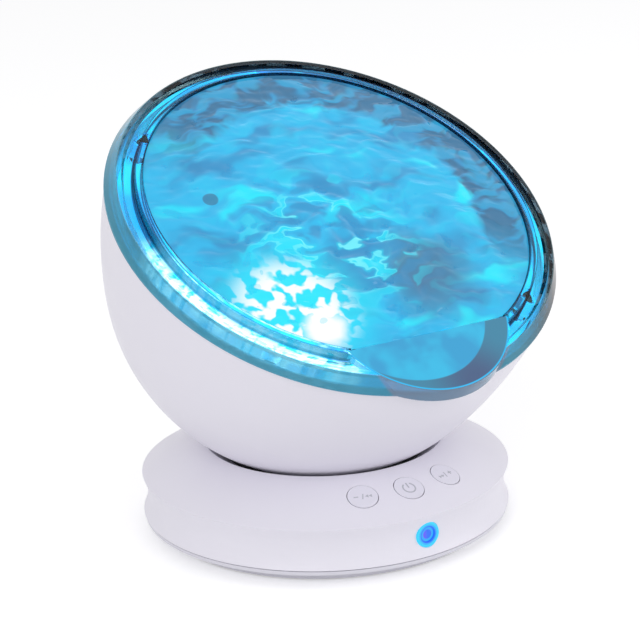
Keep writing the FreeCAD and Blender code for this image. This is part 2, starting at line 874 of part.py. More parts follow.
# Floor plate: a lip under the band, a spigot inside it, a raised foot ring with pockets for the
# rubber feet, screw holes, and the speaker grille, a row of slots inside a circle.
floor_plate = new_body("floor_plate")
plate_rim = "(band_bottom - plate_gap)"
foot_inner = "(foot_ring_radius - foot_ring_width)"
revolve(
    floor_plate,
    [
        (0, "plate_bottom"),
        (foot_inner, "plate_bottom"),
        (foot_inner, "foot_ring_bottom"),
        ("foot_ring_radius", "foot_ring_bottom"),
        ("foot_ring_radius", "lip_bottom - lip_root"),
        ("flare_radius - lip_inset", "lip_bottom - lip_step"),
        ("flare_radius - lip_step", "lip_bottom"),
        ("flare_radius - lip_step / 2", plate_rim),
        ("flare_radius - base_wall - fit_gap", plate_rim),
        ("flare_radius - base_wall - fit_gap", plate_rim + " + spigot_height"),
        ("flare_radius - 2 * base_wall", plate_rim + " + spigot_height"),
        ("flare_radius - 2 * base_wall", PLATE_TOP),
        (0, PLATE_TOP),
    ],
)
foot_pocket = pocket(
    floor_plate,
    "foot_pocket",
    lambda s: circle(s, *FOOT_PLACE, "foot_radius + foot_play"),
    "foot_ring_bottom",
    "foot_recess",
    reverse=True,
)
repeat_round(floor_plate, [foot_pocket], "foot_count", name="foot_pockets")
through = "3 * plate_wall"
pocket(floor_plate, "screw_holes", at_bosses("screw_radius + screw_play"), 0, through, reverse=True)
screw_seat = "(%s - screw_seat_wall)" % PLATE_TOP
pocket(floor_plate, "head_pockets", at_bosses("screw_head_radius + fit_gap"), 0, screw_seat, reverse=True)
GRILLE_ROWS = (-3, -2, -1, 0, 1, 2, 3)


def grille(sketch):
    """Slots side by side, each as long as the circle of the cone allows."""
    for row in GRILLE_ROWS:
        along = "(2 * sqrt((speaker_radius - grille_inset)^2 - (%d * grille_pitch)^2))" % row
        box_outline(sketch, 0, "%d * grille_pitch" % row, along, "grille_slot")


pocket(floor_plate, "grille", grille, 0, through, reverse=True)


def board_posts(sketch):
    for side in (-1, 1):
        along = "%d * board_post_offset" % side
        circle(sketch, along, "board_middle - board_post_inset", "board_post_radius")


pad(
    floor_plate,
    "board_posts",
    board_posts,
    PLATE_TOP,
    "port_floor - board_wall - " + PLATE_TOP,
)

feet = new_body("rubber_feet")
foot = pad(
    feet,
    "foot",
    lambda s: circle(s, *FOOT_PLACE, "foot_radius"),
    0,
    "foot_ring_bottom + foot_recess",
)
repeat_round(feet, [foot], "foot_count")

case_screws = new_body("case_screws")
head_bottom = screw_seat + " - screw_head_height"
pad(case_screws, "heads", at_bosses("screw_head_radius"), head_bottom, "screw_head_height")
shank_radius = "screw_radius - shaft_clearance"
pad(case_screws, "shanks", at_bosses(shank_radius), screw_seat + " - shank_root", "screw_length")

post_screw = new_body("post_screw")
post_seat = "(%s - post_seat_sink)" % DISH_BOTTOM
pad(
    post_screw,
    "head",
    lambda s: circle(s, 0, 0, "screw_head_radius + post_head_extra"),
    post_seat + " - post_head_height",
    "post_head_height",
)
pad(
    post_screw,
    "shank",
    lambda s: circle(s, 0, 0, "screw_radius + post_shank_extra"),
    post_seat + " - post_seat_sink",
    "%s - %s + 2 * saddle_wall" % (POST_TOP, post_seat),
)

# Saddle: a curved strip inside the bowl, screwed down on the post. It holds the bowl in the dish
# by friction and covers the slot.
saddle = new_body("tilt_saddle")
outer_saddle = "(ball_radius - bowl_wall - saddle_gap)"
inner_saddle = "(%s - saddle_wall)" % outer_saddle
saddle_sketch = new_sketch(saddle, "saddle_section")
outline(
    saddle_sketch,
    [
        ("-saddle_half_width", "-sqrt(%s^2 - saddle_half_width^2)" % outer_saddle, outer_saddle, -1),
        ("saddle_half_width", "-sqrt(%s^2 - saddle_half_width^2)" % outer_saddle),
        ("saddle_half_width", "-sqrt(%s^2 - saddle_half_width^2)" % inner_saddle, inner_saddle, 1),
        ("-saddle_half_width", "-sqrt(%s^2 - saddle_half_width^2)" % inner_saddle),
    ],
)
doc.recompute()
strip = saddle.newObject("PartDesign::Revolution", "saddle_strip")
strip.Profile = saddle_sketch
strip.ReferenceAxis = (saddle_sketch, ["H_Axis"])
strip.Midplane = True
bind(strip, "Angle", "2 * saddle_half_angle")
doc.recompute()
pad(
    saddle,
    "boss",
    lambda s: circle(s, 0, 0, "post_radius - saddle_boss_inset"),
    "-" + outer_saddle,
    "saddle_boss_height",
)
pocket(
    saddle,
    "screw_bore",
    lambda s: circle(s, 0, 0, "screw_radius + post_shank_extra + shaft_clearance"),
    "-%s - cutter_reach" % outer_saddle,
    "saddle_bore_depth",
    reverse=True,
)
saddle.Placement = FreeCAD.Placement(Vector(0, 0, 1), FreeCAD.Rotation())
bind(saddle, "Placement.Base.z", "pivot_height")

# Seat ring: a soft ring let into the dish, under the bowl.
seat_ring = new_body("seat_ring")
ring_outer = "(mouth_radius - seat_ring_inset)"
ring_inner = "(%s - seat_ring_width)" % ring_outer
under_ball = "(dish_radius - seat_ring_sink)"
over_ball = "(ball_radius + seat_gap)"


def ball_height(ball, radius):
    """The height of a ball's underside at a radius from its axis."""
    return "pivot_height - sqrt(%s^2 - %s^2)" % (ball, radius)


revolve(
    seat_ring,
    [
        (ring_inner, ball_height(under_ball, ring_inner), under_ball, -1),
        (ring_outer, ball_height(under_ball, ring_outer)),
        (ring_outer, ball_height(over_ball, ring_outer), over_ball, 1),
        (ring_inner, ball_height(over_ball, ring_inner)),
    ],
)


def make_key(label, turn):
    """A round key flush with the top, with a retaining flange under the shell and a short stem."""
    key = new_body(label)
    key_feature(
        key,
        "Pad",
        "cap",
        lambda s: circle(s, 0, 0, "key_radius"),
        0,
        KEY_SEAT + " + key_flange_wall / 2",
    )
    key_feature(
        key,
        "Pad",
        "flange",
        lambda s: circle(s, 0, 0, "key_radius + key_flange"),
        KEY_SEAT,
        "key_flange_wall",
    )
    key_feature(
        key,
        "Pad",
        "stem",
        lambda s: circle(s, 0, 0, "key_stem_radius"),
        KEY_SEAT + " + key_flange_wall / 2",
        "key_flange_wall / 2 + key_stem",
    )
    if turn:
        key.Placement = FreeCAD.Placement(Vector(0, 0, 0), FreeCAD.Rotation(Vector(0, 0, turn), 1))
        bind(key, "Placement.Rotation.Angle", "key_angle")


for label, turn in (("down_key", -1), ("power_key", 0), ("up_key", 1)):
    make_key(label, turn)

# Key board: a slanting board on two posts under the keys, with a switch below each stem.
key_board = new_body("key_board")
board_centre = "(key_board_back - key_board_front) / 2"
board_width = "2 * (key_circle * sin(key_angle) + key_board_margin)"
board_depth = "key_board_back + key_board_front"
key_feature(
    key_board,
    "Pad",
    "plate",
    lambda s: box_outline(s, 0, board_centre, board_width, board_depth),
    "key_board_depth",
    "key_board_wall",
)
switches = new_body("key_switches")


def switch_places(sketch):
    for side in (-1, 0, 1):
        turn = "(%d * key_angle)" % side
        across, along = "key_circle * sin(%s)" % turn, "key_circle * (1 - cos(%s))" % turn
        box_outline(sketch, across, along, "switch_side", "switch_side")


key_feature(switches, "Pad", "body", switch_places, "key_board_depth - switch_height", "switch_height")
# The side keys sit on the same ring as the middle one, so they lie lower against the flat board.
side_drop = "(key_circle * (1 - cos(key_angle)) * sin(%s) + side_key_sink)" % KEY_SLOPE
plunger_top = "(" + KEY_SEAT + " + key_flange_wall + key_stem + key_travel + shaft_clearance)"
for name, turns, drop in (("middle", (0,), "0"), ("side", (-1, 1), side_drop)):

    def plunger_places(sketch):
        for side in turns:
            turn = "(%d * key_angle)" % side
            across = "(key_circle * sin(%s) - %d * plunger_shift)" % (turn, side)
            circle(sketch, across, "key_circle * (1 - cos(%s))" % turn, "plunger_radius")

    key_feature(
        switches,
        "Pad",
        name + "_plungers",
        plunger_places,
        "%s + %s" % (plunger_top, drop),
        "key_board_depth - plunger_root - %s - %s" % (plunger_top, drop),
    )

# Receiver window: a stepped round lens in the front of the band, with a flange inside. Behind it a
# small board holds the status lamp and the infrared receiver.
window = new_body("receiver_window")
window_back = "(inner_wall_radius - window_seat_gap - window_flange_wall)"
window_front = "(flare_radius - waist_depth)"
pad(
    window,
    "lens",
    lambda s: circle(s, 0, "window_height", "window_radius"),
    window_back + " + window_flange_wall / 2",
    "%s - %s - window_flange_wall / 2" % (window_front, window_back),
    role="XZ_Plane",
)
pad(
    window,
    "flange",
    lambda s: circle(s, 0, "window_height", "window_radius + window_flange"),
    window_back,
    "window_flange_wall",
    role="XZ_Plane",
)
pocket(
    window,
    "step",
    lambda s: circle(s, 0, "window_height", "window_radius * window_step_share"),
    window_front,
    "window_step",
    role="XZ_Plane",
)
sensor_board = new_body("sensor_board")
sensor_middle = PLATE_TOP + " + sensor_board_height / 2 + feature_root"
pad(
    sensor_board,
    "plate",
    lambda s: box_outline(s, 0, sensor_middle, "sensor_board_width", "sensor_board_height"),
    "sensor_face",
    "key_board_wall",
    role="XZ_Plane",
)
status_lamp = new_body("status_lamp")
pad(
    status_lamp,
    "lamp",
    lambda s: circle(s, "status_lamp_offset", "window_height", "status_lamp_radius"),
    "sensor_face + key_board_wall",
    "status_lamp_length",
    role="XZ_Plane",
)
receiver = new_body("infrared_receiver")
pad(
    receiver,
    "case",
    lambda s: box_outline(s, "-receiver_offset", "window_height", "receiver_width", "receiver_height"),
    "sensor_face + key_board_wall",
    "receiver_depth",
    role="XZ_Plane",
)

# Main board at the back, with the power, sound and card sockets behind their openings.
main_board = new_body("main_board")
pad(
    main_board,
    "plate",
    lambda s: box_outline(s, 0, "board_middle", "main_board_width", "main_board_depth"),
    "port_floor - board_wall",
    "board_wall",
)
usb = new_body("usb_socket")
pad(
    usb,
    "shell",
    lambda s: box_outline(s, 0, "usb_face - usb_depth / 2", "usb_width", "usb_depth"),
    "port_floor",
    "usb_thick",
)
pocket(
    usb,
    "mouth",
    lambda s: box_outline(s, 0, usb_height, "usb_width - 2 * socket_skin", "usb_thick - 2 * socket_skin"),
    "-usb_face",
    "usb_mouth_depth",
    role="XZ_Plane",
    reverse=True,
)
pad(
    usb,
    "tongue",
    lambda s: box_outline(s, 0, usb_height, "usb_tongue_width", "usb_tongue_wall"),
    "-inner_wall_radius",
    "usb_mouth_depth - usb_reach + feature_root",
    role="XZ_Plane",
)
jack = new_body("audio_jack")
jack_middle = "jack_face - jack_case_depth / 2"
pad(
    jack,
    "case",
    lambda s: box_outline(s, "-jack_offset", jack_middle, "jack_case_width", "jack_case_depth"),
    "port_floor",
    "jack_case_height",
)
pad(
    jack,
    "nose",
    lambda s: circle(s, "-jack_offset", jack_height, "jack_radius + jack_wall"),
    "-jack_tip",
    "jack_nose_length",
    role="XZ_Plane",
)
pocket(
    jack,
    "bore",
    lambda s: circle(s, "-jack_offset", jack_height, "jack_radius"),
    "-jack_tip",
    "jack_bore_depth",
    role="XZ_Plane",
    reverse=True,
)
card = new_body("card_socket")
card_middle = "card_face - card_case_depth / 2"
pad(
    card,
    "case",
    lambda s: box_outline(s, "card_offset", card_middle, "card_width", "card_case_depth"),
    "port_floor",
    "card_case_height",
)
card_mouth = "card_width - 2 * card_mouth_inset"
pocket(
    card,
    "mouth",
    lambda s: box_outline(s, "card_offset", card_height, card_mouth, "card_mouth_height"),
    "-card_face",
    "card_mouth_depth",
    role="XZ_Plane",
    reverse=True,
)

# Speaker on the floor plate over the grille: basket, magnet and paper cone.
frame = new_body("speaker_frame")
basket = "(%s + basket_height)" % PLATE_TOP
revolve(
    frame,
    [
        ("speaker_radius - basket_rim", PLATE_TOP),
        ("speaker_radius", PLATE_TOP),
        ("speaker_radius", PLATE_TOP + " + basket_edge"),
        ("speaker_radius - basket_lip", PLATE_TOP + " + basket_edge"),
        ("magnet_radius + magnet_seat", basket),
        (0, basket),
        (0, basket + " - basket_wall"),
        ("magnet_radius", basket + " - basket_wall"),
        ("speaker_radius - basket_rim", PLATE_TOP + " + basket_edge / 2"),
    ],
)
magnet = new_body("speaker_magnet")
pad(magnet, "ring", lambda s: circle(s, 0, 0, "magnet_radius"), basket, "magnet_height")
cone = new_body("speaker_cone")
cone_rim = "speaker_radius - basket_rim - cone_rim_gap"
revolve(
    cone,
    [
        (0, basket + " - cone_drop"),
        ("cone_cap_radius", basket + " - cone_drop"),
        (cone_rim, PLATE_TOP + " + shaft_clearance"),
        (cone_rim, PLATE_TOP + " + cone_rim_height"),
        ("cone_cap_radius", basket + " - cone_drop + cone_wall"),
        (0, basket + " - cone_drop + cone_wall"),
    ],
)

# Every object has to be sound before anything is written.
broken = [item.Name for item in doc.Objects if "Invalid" in item.State or "Error" in item.State]
broken += [item.Label for item in nodes if item.Shape.isNull() or not item.Shape.isValid()]
if broken:
    raise ValueError("broken objects: " + ", ".join(broken))
os.makedirs("parts", exist_ok=True)
for item in nodes:
    item.Shape.exportStep("parts/%s.step" % item.Label)
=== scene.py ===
import json
import math

import bmesh
import bpy
from mathutils import Matrix, Vector, noise


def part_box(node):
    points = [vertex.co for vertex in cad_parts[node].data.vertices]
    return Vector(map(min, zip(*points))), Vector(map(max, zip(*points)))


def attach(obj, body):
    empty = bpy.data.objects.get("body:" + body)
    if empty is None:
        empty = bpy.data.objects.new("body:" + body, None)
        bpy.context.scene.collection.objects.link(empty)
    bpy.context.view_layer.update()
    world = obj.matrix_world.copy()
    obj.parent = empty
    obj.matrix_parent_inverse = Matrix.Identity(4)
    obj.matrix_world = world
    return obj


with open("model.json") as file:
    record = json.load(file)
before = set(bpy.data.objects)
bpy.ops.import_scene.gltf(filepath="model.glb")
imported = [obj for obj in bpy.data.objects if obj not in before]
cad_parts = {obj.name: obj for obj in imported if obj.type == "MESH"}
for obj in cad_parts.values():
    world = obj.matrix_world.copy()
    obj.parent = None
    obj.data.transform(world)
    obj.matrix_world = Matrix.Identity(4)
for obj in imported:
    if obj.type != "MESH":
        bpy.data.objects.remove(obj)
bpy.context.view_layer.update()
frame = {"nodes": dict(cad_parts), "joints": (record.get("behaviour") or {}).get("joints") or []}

# Studio: the camera stands at the front left and a little above. Soft even light, and a white
# floor that keeps the shadow under the light.
PICTURE = 640
FOCAL_PIXELS = 1800
SENSOR_WIDTH = 36
NEAR_CLIP = 0.01
CAMERA_AT = Vector((-0.2534, -0.4184, 0.2039))
AIM = Vector((0.4965, 0.8199, -0.2851)).normalized()
ROLL = math.radians(-2.01)
AMBIENT = 0.66
FLOOR_SIZE = 4
FLOOR_COLOUR = (0.93, 0.93, 0.94, 1)
FLOOR_LIFT = 0.32
WHITE = (1, 1, 1, 1)
LAMP_AIM = Vector((0, 0, 0.06))
LAMPS = {
    "window_lamp": {"at": (-1.0, -0.8, 0.8), "size": 0.9, "watts": 5.4},
    "side_lamp": {"at": (1.1, -0.9, 0.5), "size": 0.8, "watts": 4.6},
}


def put(tree, kind, sockets=None, **settings):
    """Adds a shader node. Sockets maps an input to a value or to another node's output."""
    made = tree.nodes.new("ShaderNode" + kind)
    for name, value in settings.items():
        setattr(made, name, value)
    for name, value in (sockets or {}).items():
        if isinstance(value, bpy.types.NodeSocket):
            tree.links.new(value, made.inputs[name])
        else:
            made.inputs[name].default_value = value
    return made


def reckon(tree, operation, first, second=0.0, third=0.0):
    """One step of arithmetic in a material."""
    return put(tree, "Math", {0: first, 1: second, 2: third}, operation=operation).outputs[0]


def fade(tree, value, low, high, start=0.0, end=1.0):
    """A smooth step from start to end as the value goes from low to high."""
    sockets = {"Value": value, "From Min": low, "From Max": high, "To Min": start, "To Max": end}
    return put(tree, "MapRange", sockets, interpolation_type="SMOOTHSTEP").outputs["Result"]


def seen_rays(tree):
    """1 for rays from the camera, and for those that gloss and clear plastic send on."""
    path = put(tree, "LightPath").outputs
    gloss = reckon(tree, "MAXIMUM", path["Is Glossy Ray"], path["Is Transmission Ray"])
    return reckon(tree, "MAXIMUM", path["Is Camera Ray"], gloss)


def aim_matrix(place, forward, roll=0.0):
    """Stands something at a place, looking forward, turned by roll about its line of sight."""
    level = forward.cross(Vector((0, 0, 1))).normalized()
    above = level.cross(forward)
    right = math.cos(roll) * level + math.sin(roll) * above
    up = math.cos(roll) * above - math.sin(roll) * level
    turned = Matrix((right, up, -forward)).transposed().to_4x4()
    return Matrix.Translation(place) @ turned


camera = bpy.data.objects.new("camera", bpy.data.cameras.new("camera"))
bpy.context.scene.collection.objects.link(camera)
camera.data.sensor_width = SENSOR_WIDTH
camera.data.lens = FOCAL_PIXELS / PICTURE * SENSOR_WIDTH
camera.data.clip_start = NEAR_CLIP
camera.matrix_world = aim_matrix(CAMERA_AT, AIM, ROLL)
bpy.context.scene.camera = camera
bpy.context.scene.view_settings.view_transform = "Standard"

world = bpy.data.worlds.new("studio")
world.use_nodes = True
sky = world.node_tree
sky.nodes.clear()
sky_strength = fade(sky, seen_rays(sky), 0.0, 1.0, AMBIENT, 1.0)
background = put(sky, "Background", {"Color": WHITE, "Strength": sky_strength})
put(sky, "OutputWorld", {"Surface": background.outputs[0]})
bpy.context.scene.world = world

for name, lamp in LAMPS.items():
    light = bpy.data.lights.new(name, "AREA")
    light.energy = lamp["watts"]
    light.size = lamp["size"]
    stand = bpy.data.objects.new(name, light)
    bpy.context.scene.collection.objects.link(stand)
    place = Vector(lamp["at"])
    stand.matrix_world = aim_matrix(place, (LAMP_AIM - place).normalized())


def piece(name, mesh, material, body=None):
    """Makes a finished mesh an object at the origin, with its finish and the body it rides on."""
    made = bpy.data.meshes.new(name)
    mesh.to_mesh(made)
    mesh.free()
    made.materials.append(material)
    thing = bpy.data.objects.new(name, made)
    bpy.context.scene.collection.objects.link(thing)
    if body:
        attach(thing, body)
    return thing


floor_finish = bpy.data.materials.new("studio_floor")
floor_finish.use_nodes = True
floor_tree = floor_finish.node_tree
floor_tree.nodes.clear()
floor_paint = put(floor_tree, "BsdfDiffuse", {"Color": FLOOR_COLOUR})
floor_lift = reckon(floor_tree, "MULTIPLY", seen_rays(floor_tree), FLOOR_LIFT)
floor_glow = put(floor_tree, "Emission", {"Color": WHITE, "Strength": floor_lift})
floor_sum = put(floor_tree, "AddShader", {0: floor_paint.outputs[0], 1: floor_glow.outputs[0]})
put(floor_tree, "OutputMaterial", {"Surface": floor_sum.outputs[0]})
floor_mesh = bmesh.new()
bmesh.ops.create_grid(floor_mesh, x_segments=1, y_segments=1, size=FLOOR_SIZE)
piece("floor", floor_mesh, floor_finish)

# Bowl, base, keys and underside: satin white moulded plastic with a lilac cast, in CAD solids.
# The colour drifts a little over a hand's width, and the skin has the fine grain of the mould.
MM = 0.001
SHELL_COLOUR = (0.82, 0.80, 0.88)
UNDERSIDE_COLOUR = (0.74, 0.73, 0.80)
KEY_COLOUR = (0.79, 0.775, 0.86)
RUBBER_COLOUR = (0.03, 0.03, 0.035)
CLOUDS_PER_METRE = 25
WEAR_PER_METRE = 90
WEAR_EDGES = (0.3, 0.7)
GLOSS_DRIFT = 0.12
GRAIN_PER_METRE = 2600
GRAIN_STRENGTH = 0.35


def new_finish(name):
    """An empty material: its node tree, its surface shader and the piece's own coordinates."""
    made = bpy.data.materials.new(name)
    made.use_nodes = True
    tree = made.node_tree
    tree.nodes.clear()
    shader = put(tree, "BsdfPrincipled")
    put(tree, "OutputMaterial", {"Surface": shader.outputs[0]})
    return made, tree, shader, put(tree, "TexCoord").outputs["Object"]


def soft_noise(tree, place, scale, detail=2.0):
    """Clouds from 0 to 1. The scale counts them in one unit of the coordinates."""
    return put(tree, "TexNoise", {"Vector": place, "Scale": scale, "Detail": detail}).outputs["Fac"]


def mix_tint(tree, amount, low, high):
    """From one colour to another. Each is a colour or another node's output."""
    mixed = put(tree, "Mix", {0: amount}, data_type="RGBA")
    for number, colour in ((6, low), (7, high)):
        if isinstance(colour, bpy.types.NodeSocket):
            tree.links.new(colour, mixed.inputs[number])
        else:
            mixed.inputs[number].default_value = (*colour[:3], 1)
    return mixed.outputs[2]


def bumped(tree, heights, depth, strength):
    """The way a skin faces where heights of 0 to 1 stand up to a depth in metres."""
    sockets = {"Height": heights, "Distance": depth, "Strength": strength}
    return put(tree, "Bump", sockets).outputs["Normal"]


def moulded(name, colour, roughness, share=0.05, grain_depth=0.03 * MM, metallic=0.0):
    """Moulded plastic, rubber or metal: clouds in the colour and gloss, grain in the skin."""
    made, tree, shader, place = new_finish(name)
    darker = tuple(part * (1 - share) for part in colour)
    clouds = soft_noise(tree, place, CLOUDS_PER_METRE, detail=3)
    tree.links.new(mix_tint(tree, clouds, colour, darker), shader.inputs["Base Color"])
    wear = soft_noise(tree, place, WEAR_PER_METRE, detail=4)
    smoothest, dullest = roughness * (1 - GLOSS_DRIFT), roughness * (1 + GLOSS_DRIFT)
    tree.links.new(fade(tree, wear, *WEAR_EDGES, smoothest, dullest), shader.inputs["Roughness"])
    grain = soft_noise(tree, place, GRAIN_PER_METRE)
    tree.links.new(bumped(tree, grain, grain_depth, GRAIN_STRENGTH), shader.inputs["Normal"])
    shader.inputs["Metallic"].default_value = metallic
    return made


def finish_nodes(material, *names):
    """Gives CAD solids their finish."""
    for name in names:
        slots = frame["nodes"][name].data.materials
        slots.clear()
        slots.append(material)


shell_plastic = moulded("shell_plastic", SHELL_COLOUR, roughness=0.42, share=0.03)
underside_plastic = moulded("underside_plastic", UNDERSIDE_COLOUR, roughness=0.5)
key_plastic = moulded("key_plastic", KEY_COLOUR, roughness=0.4, share=0.03)
black_rubber = moulded("black_rubber", RUBBER_COLOUR, roughness=0.75)
finish_nodes(shell_plastic, "bowl_shell", "base_shell")
finish_nodes(underside_plastic, "floor_plate", "tilt_saddle")
finish_nodes(key_plastic, "down_key", "power_key", "up_key")
finish_nodes(black_rubber, "rubber_feet", "seat_ring")

# Clear cover: one moulding in smoky blue plastic over the bowl. It is darkest in its skirt and
# nearly clear in the channel and the lens; round the back right of its rim it has painted dark
# reflection. Painted glow lights the skirt away from the back right and the channel at the front
# left, with painted glare streaks there, and painted dark lines mark the ridge edges. Sizes are in
# millimetres on the level head, from its pivot.
joints = {joint["name"]: joint for joint in frame["joints"]}
PIVOT = Vector(joints["head_tilt"]["pos_m"])
HEAD_AXIS = Vector(joints["disc_spin"]["axis"])
TILT = math.atan2(-HEAD_AXIS.y, HEAD_AXIS.z)
HEAD = Matrix.Translation(PIVOT) @ Matrix.Rotation(TILT, 4, "X")
TO_MM = 1000
CLEAR_TINT = (0.50, 0.86, 0.95)
SMOKE_TINT = (0.06, 0.25, 0.34)
# Near black tint: painted dark reflection for the back right of the rim.
PAINTED_DARK_TINT = (0.002, 0.005, 0.012)
# Painted shade tint for the two ridge edges.
RIDGE_SHADE_TINT = (0.01, 0.05, 0.09)
LOBE_TINT = (0.22, 0.21, 0.27)
BLACK = (0, 0, 0)
# Painted glow in the skirt, and in the channel at the front left.
SKIRT_PAINTED_GLOW = (0.01, 0.06, 0.09)
SKIRT_CLEARNESS = 0.35
SKIRT_EDGES = (61.2, 61.8)
LENS_ROUGHNESS = 0.02
SKIRT_ROUGHNESS = 0.14
FAR_SIDE = Vector((0.82, 0.57, 0))
FAR_EDGES = (-0.30, 0.25)
LOBE_AT = Vector((0, -40, 0))
LOBE_RADIUS = 27
LOBE_EDGES = (27.2, 27.8)
LOBE_FRONT = (-52, -50)
RIDGES_AT = (54.4, 56.7)
RIDGE_WIDTH = 0.5
CHANNEL_PAINTED_GLOW = (0.02, 0.30, 0.45)
CHANNEL_AT = 58.2
CHANNEL_WIDTH = 3.4
# Painted glare: streaks of lamp light in the channel at the front left.
STREAK_PAINTED_GLARE = (0.85, 1.0, 1.0)
STREAK_SIDE = Vector((-0.83, -0.56, 0))
STREAK_SIDE_EDGES = (0.80, 0.97)
STREAKS_AT = 58.8
STREAKS_WIDTH = 2.4
STREAKS_PER_MM = 0.28
STREAK_SQUEEZE = (1, 1.6, 1)
STREAK_EDGES = (0.40, 0.54)
COVER_WAVES_PER_METRE = 120
COVER_WAVE_DEPTH = 0.4 * MM


def reckon_place(tree, operation, first, second=(0, 0, 0)):
    """One step of arithmetic on coordinates."""
    return put(tree, "VectorMath", {0: first, 1: second}, operation=operation).outputs["Vector"]


def head_place(tree, place):
    """Coordinates of the level head about its pivot, in millimetres."""
    back = HEAD.inverted().translation * TO_MM
    sockets = {"Vector": place, "Location": back, "Rotation": (-TILT, 0, 0), "Scale": (TO_MM,) * 3}
    return put(tree, "Mapping", sockets).outputs["Vector"]


def length_of(tree, place):
    """How far coordinates are from their origin."""
    return put(tree, "VectorMath", {0: place}, operation="LENGTH").outputs["Value"]


def flat_place(tree, place):
    """Coordinates on the level head without the height, and the distance from its axis."""
    flat = reckon_place(tree, "MULTIPLY", head_place(tree, place), (1, 1, 0))
    return flat, length_of(tree, flat)


def side_of(tree, flat, direction, low, high):
    """0 to 1 round the head towards a direction."""
    sockets = {0: reckon_place(tree, "NORMALIZE", flat), 1: direction}
    towards = put(tree, "VectorMath", sockets, operation="DOT_PRODUCT").outputs["Value"]
    return fade(tree, towards, low, high)


def ring_of(tree, radius, middle, half_width):
    """1 on a ring, falling off to both sides."""
    off = reckon(tree, "ABSOLUTE", reckon(tree, "SUBTRACT", radius, middle))
    return fade(tree, off, half_width * 0.5, half_width, 1.0, 0.0)


def distance_to(tree, flat, spot):
    """How far coordinates are from a spot."""
    return put(tree, "VectorMath", {0: flat, 1: spot}, operation="DISTANCE").outputs["Value"]


def near_spot(tree, flat, spot, inner, outer):
    """1 inside the inner distance of a spot, 0 beyond the outer."""
    return fade(tree, distance_to(tree, flat, spot), inner, outer, 1.0, 0.0)


def times(tree, first, second):
    """Where two masks meet, or a share of one."""
    return reckon(tree, "MULTIPLY", first, second)


cover_finish, tree, shader, place = new_finish("smoky_clear")
flat, radius = flat_place(tree, place)
skirt = fade(tree, radius, *SKIRT_EDGES)
# Painted dark reflection: 1 round the back right of the rim, where the tint goes near black.
painted_dark_far_side = side_of(tree, flat, FAR_SIDE, *FAR_EDGES)
forward = put(tree, "SeparateXYZ", {0: flat}).outputs["Y"]
in_front = fade(tree, forward, *LOBE_FRONT, 1.0, 0.0)
lobe = times(tree, near_spot(tree, flat, LOBE_AT, *LOBE_EDGES), in_front)
# The rim tint holds the painted dark reflection, except in the lobe.
rim_tint = mix_tint(tree, lobe, mix_tint(tree, painted_dark_far_side, SMOKE_TINT, PAINTED_DARK_TINT), LOBE_TINT)
# Painted shade: thin dark lines on both ridge edges, except in the lobe.
ridges = [ring_of(tree, radius, ridge, RIDGE_WIDTH) for ridge in RIDGES_AT]
painted_ridge_shade = reckon(tree, "MAXIMUM", *ridges)
painted_ridge_shade = times(tree, painted_ridge_shade, reckon(tree, "SUBTRACT", 1.0, lobe))
lens_tint = mix_tint(tree, painted_ridge_shade, CLEAR_TINT, RIDGE_SHADE_TINT)
tree.links.new(mix_tint(tree, skirt, lens_tint, rim_tint), shader.inputs["Base Color"])

# Painted glow: the skirt away from the back right and the channel at the front left shine as if lit
# by the lamps inside.
painted_lit_skirt = times(tree, skirt, reckon(tree, "SUBTRACT", 1.0, painted_dark_far_side))
painted_glow = mix_tint(tree, painted_lit_skirt, BLACK, SKIRT_PAINTED_GLOW)
painted_glow_side = side_of(tree, flat, STREAK_SIDE, *STREAK_SIDE_EDGES)
channel = ring_of(tree, radius, CHANNEL_AT, CHANNEL_WIDTH)
painted_glow = mix_tint(tree, times(tree, painted_glow_side, channel), painted_glow, CHANNEL_PAINTED_GLOW)
# Painted glare streaks in clouds along the channel.
squeezed = reckon_place(tree, "MULTIPLY", flat, STREAK_SQUEEZE)
painted_glare_streaks = fade(tree, soft_noise(tree, squeezed, STREAKS_PER_MM), *STREAK_EDGES)
painted_glare_streaks = times(tree, painted_glow_side, painted_glare_streaks)
painted_glare_streaks = times(tree, painted_glare_streaks, ring_of(tree, radius, STREAKS_AT, STREAKS_WIDTH))
tree.links.new(mix_tint(tree, painted_glare_streaks, painted_glow, STREAK_PAINTED_GLARE), shader.inputs["Emission Color"])
shader.inputs["Emission Strength"].default_value = 1

clearness = fade(tree, skirt, 0.0, 1.0, 1.0, SKIRT_CLEARNESS)
cover_roughness = fade(tree, skirt, 0.0, 1.0, LENS_ROUGHNESS, SKIRT_ROUGHNESS)
cover_waves = soft_noise(tree, place, COVER_WAVES_PER_METRE, detail=1)
waved = bumped(tree, cover_waves, COVER_WAVE_DEPTH, strength=0.3)
tree.links.new(clearness, shader.inputs["Transmission Weight"])
tree.links.new(cover_roughness, shader.inputs["Roughness"])
tree.links.new(waved, shader.inputs["Normal"])
shader.inputs["Specular IOR Level"].default_value = 0.3
shader.inputs["IOR"].default_value = 1.32
finish_nodes(cover_finish, "lens_cover")

# Rippled lens face: the moulded water relief in the top of the cover's lens, with the moving
# light that the disc throws up into it painted on as glow. It lies on the lens and stops at the
# ridge and the scoop.
LENS_RADIUS = 54.3
LENS_EDGE = 22.6
LENS_CROWN = 3.2
LENS_LIFT = 0.1
LENS_FRONT = -49.3
SHEET_WALL = 0.4
SHEET_DIVISIONS = 210
RIPPLE_HEIGHT = 0.62
RIPPLES_PER_MM = 0.24
RIPPLE_SQUEEZE = 1.5
RIPPLE_CALM = 0.35
STEEP_AT = Vector((-14, -18, 0))
STEEP_REACH = 34
SWELL = 0.3
SWELLS_PER_MM = 0.09
BENDS_PER_MM = 0.06
BEND_REACH = 6
FLAT_BORDER = 3
BEND_SEED = 5


